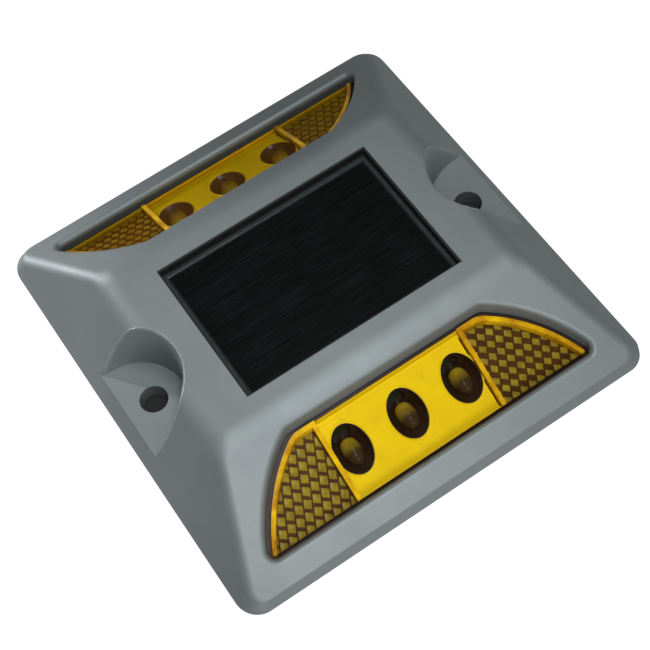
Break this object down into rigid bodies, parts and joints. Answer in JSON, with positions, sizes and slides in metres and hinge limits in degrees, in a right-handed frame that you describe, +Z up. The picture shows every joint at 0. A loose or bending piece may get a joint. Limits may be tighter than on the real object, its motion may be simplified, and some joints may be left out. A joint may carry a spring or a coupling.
{
  "type": "raised pavement marker",
  "caption": "Low square road marker with a solar panel on top, amber light and reflector windows on two slopes, and a bolt seat on each side.",
  "frame": {"origin": "middle of the flat base, on the road surface", "axes": "+X runs through both bolt holes, -Y faces out of the front light window, +Z up out of the solar panel"},
  "size_m": [0.12, 0.125, 0.0215],
  "materials": {
    "housing_grey": "satin",
    "lens_amber": "clear",
    "reflector_amber": "prismatic",
    "plate_yellow": "gloss",
    "lamp_yellow": "clear",
    "seal_black": "matte",
    "window_clear": "clear",
    "solar_backing": "satin",
    "solar_silicon": "polished",
    "cover_black": "matte",
    "screw_steel": "satin",
    "battery_sleeve": "gloss",
    "tab_nickel": "satin",
    "board_green": "satin",
    "chip_black": "matte",
    "coil_ferrite": "matte",
    "capacitor_can": "satin",
    "connector_white": "satin",
    "lead_red": "satin"
  },
  "bodies": {
    "root": {"base_gasket": "seal_black", "battery": "battery_sleeve", "battery_leads": "lead_red", "battery_tab_left": "tab_nickel", "battery_tab_right": "tab_nickel", "boost_coil": "coil_ferrite", "bottom_cover": "cover_black", "control_board": "board_green", "control_chip": "chip_black", "cover_screws": "screw_steel", "housing": "housing_grey", "lamp_board_front": "board_green", "lamp_board_rear": "board_green", "lamp_front_1": "lamp_yellow", "lamp_front_2": "lamp_yellow", "lamp_front_3": "lamp_yellow", "lamp_leads_front": "lead_red", "lamp_leads_rear": "lead_red", "lamp_plate_front": "plate_yellow", "lamp_plate_rear": "plate_yellow", "lamp_rear_1": "lamp_yellow", "lamp_rear_2": "lamp_yellow", "lamp_rear_3": "lamp_yellow", "lens_front": "lens_amber", "lens_rear": "lens_amber", "lens_seal_front": "seal_black", "lens_seal_rear": "seal_black", "reflector_front_left": "reflector_amber", "reflector_front_right": "reflector_amber", "reflector_rear_left": "reflector_amber", "reflector_rear_right": "reflector_amber", "solar_board": "solar_backing", "solar_cell_1": "solar_silicon", "solar_cell_2": "solar_silicon", "solar_cell_3": "solar_silicon", "solar_cell_4": "solar_silicon", "solar_cell_5": "solar_silicon", "solar_cell_6": "solar_silicon", "solar_leads": "lead_red", "solar_window": "window_clear", "storage_capacitor": "capacitor_can", "window_seal": "seal_black", "wire_connector": "connector_white"}
  },
  "joints": []
}
